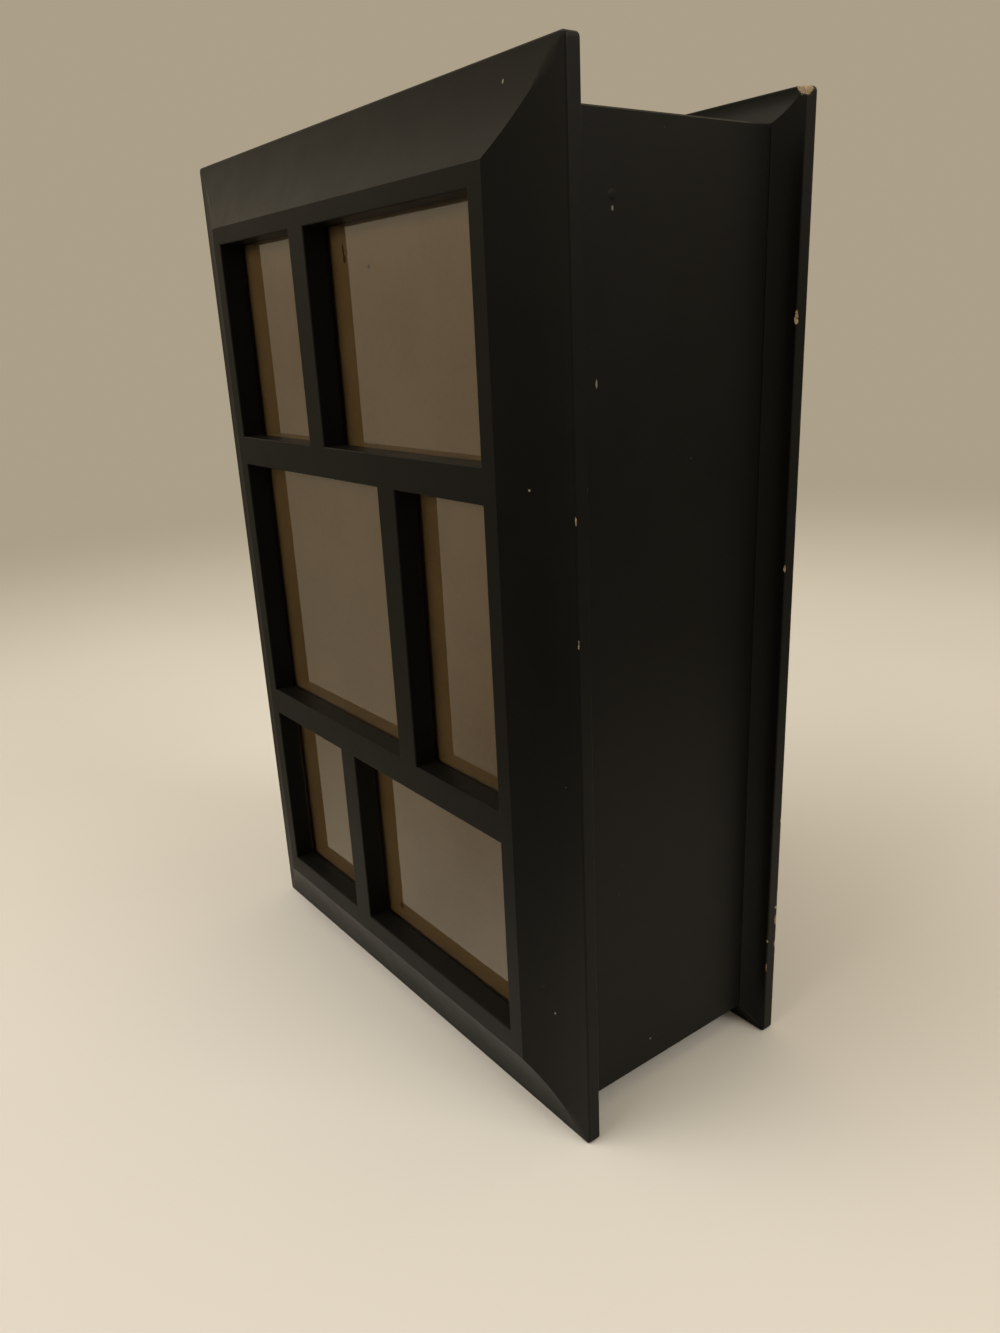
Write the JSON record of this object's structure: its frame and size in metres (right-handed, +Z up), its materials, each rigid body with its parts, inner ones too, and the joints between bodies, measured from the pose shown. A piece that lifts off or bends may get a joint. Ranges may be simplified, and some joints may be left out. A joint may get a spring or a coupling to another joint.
{
  "type": "collage photo frame box",
  "caption": "Shallow black storage box on its short end, whose hinged lid is a moulded collage photo frame with glazed rectangular windows in a raised field.",
  "frame": {"origin": "on the surface that the box stands on, in the middle of its width and depth", "axes": "+X to the viewer's right, +Y from the windows towards the base plate, +Z up along the long side"},
  "size_m": [0.274, 0.126, 0.4],
  "materials": {
    "black_paint": "satin black paint on fibreboard, worn to bare tan board at a few corners",
    "clear_glass": "clear float glass",
    "backing_board": "plain brown hardboard",
    "zinc_steel": "zinc-plated steel",
    "hinge_brass": "dulled brass plate",
    "black_screw": "black phosphated steel",
    "magnet_nickel": "nickel-plated"
  },
  "bodies": {
    "box": {"wall_left": "black_paint", "wall_right": "black_paint", "wall_head": "black_paint", "wall_foot": "black_paint", "base_plate": "black_paint", "base_screws": "black_screw", "hinge_upper_wall_leaf": "hinge_brass", "hinge_lower_wall_leaf": "hinge_brass", "hinge_upper_pin": "hinge_brass", "hinge_lower_pin": "hinge_brass", "hinge_wall_screws": "hinge_brass", "wall_magnets": "magnet_nickel"},
    "lid": {"frame_lid": "black_paint", "glass_top_left": "clear_glass", "glass_top_right": "clear_glass", "glass_middle_left": "clear_glass", "glass_middle_right": "clear_glass", "glass_bottom_left": "clear_glass", "glass_bottom_right": "clear_glass", "backing_top_left": "backing_board", "backing_top_right": "backing_board", "backing_middle_left": "backing_board", "backing_middle_right": "backing_board", "backing_bottom_left": "backing_board", "backing_bottom_right": "backing_board", "turn_button_screws": "zinc_steel", "hinge_upper_lid_leaf": "hinge_brass", "hinge_lower_lid_leaf": "hinge_brass", "hinge_lid_screws": "hinge_brass", "lid_magnets": "magnet_nickel"},
    "turn_button_top_bar": {"turn_button_top_bar": "zinc_steel"},
    "turn_button_middle_bar": {"turn_button_middle_bar": "zinc_steel"},
    "turn_button_bottom_bar": {"turn_button_bottom_bar": "zinc_steel"},
    "turn_button_upper_rail_left": {"turn_button_upper_rail_left": "zinc_steel"},
    "turn_button_upper_rail_right": {"turn_button_upper_rail_right": "zinc_steel"},
    "turn_button_lower_rail_left": {"turn_button_lower_rail_left": "zinc_steel"},
    "turn_button_lower_rail_right": {"turn_button_lower_rail_right": "zinc_steel"},
    "turn_button_upper_left": {"turn_button_upper_left": "zinc_steel"},
    "turn_button_upper_right": {"turn_button_upper_right": "zinc_steel"},
    "turn_button_lower_left": {"turn_button_lower_left": "zinc_steel"},
    "turn_button_lower_right": {"turn_button_lower_right": "zinc_steel"}
  },
  "joints": [
    {"name": "lid_hinge", "type": "hinge", "parent": "box", "child": "lid", "pos_m": [-0.12845, -0.04455, 0.2], "axis": [0, 0, -1], "range_deg": [0, 95]},
    {"name": "turn_button_top_bar_turn", "type": "hinge", "parent": "lid", "child": "turn_button_top_bar", "pos_m": [-0.02275, -0.0462, 0.31875], "axis": [0, 1, 0], "continuous": true},
    {"name": "turn_button_middle_bar_turn", "type": "hinge", "parent": "lid", "child": "turn_button_middle_bar", "pos_m": [0.03275, -0.0462, 0.20175], "axis": [0, 1, 0], "continuous": true},
    {"name": "turn_button_bottom_bar_turn", "type": "hinge", "parent": "lid", "child": "turn_button_bottom_bar", "pos_m": [-0.02425, -0.0462, 0.08425], "axis": [0, 1, 0], "continuous": true},
    {"name": "turn_button_upper_rail_left_turn", "type": "hinge", "parent": "lid", "child": "turn_button_upper_rail_left", "pos_m": [-0.06475, -0.0462, 0.26825], "axis": [0, 1, 0], "continuous": true},
    {"name": "turn_button_upper_rail_right_turn", "type": "hinge", "parent": "lid", "child": "turn_button_upper_rail_right", "pos_m": [0.06925, -0.0462, 0.26825], "axis": [0, 1, 0], "continuous": true},
    {"name": "turn_button_lower_rail_left_turn", "type": "hinge", "parent": "lid", "child": "turn_button_lower_rail_left", "pos_m": [-0.06475, -0.0462, 0.13525], "axis": [0, 1, 0], "continuous": true},
    {"name": "turn_button_lower_rail_right_turn", "type": "hinge", "parent": "lid", "child": "turn_button_lower_rail_right", "pos_m": [0.06925, -0.0462, 0.13525], "axis": [0, 1, 0], "continuous": true},
    {"name": "turn_button_upper_left_turn", "type": "hinge", "parent": "lid", "child": "turn_button_upper_left", "pos_m": [-0.1095, -0.0462, 0.31875], "axis": [0, 1, 0], "range_deg": [-90, 90]},
    {"name": "turn_button_upper_right_turn", "type": "hinge", "parent": "lid", "child": "turn_button_upper_right", "pos_m": [0.109, -0.0462, 0.31875], "axis": [0, 1, 0], "range_deg": [-90, 90]},
    {"name": "turn_button_lower_left_turn", "type": "hinge", "parent": "lid", "child": "turn_button_lower_left", "pos_m": [-0.1095, -0.0462, 0.08425], "axis": [0, 1, 0], "range_deg": [-90, 90]},
    {"name": "turn_button_lower_right_turn", "type": "hinge", "parent": "lid", "child": "turn_button_lower_right", "pos_m": [0.109, -0.0462, 0.08425], "axis": [0, 1, 0], "range_deg": [-90, 90]}
  ]
}
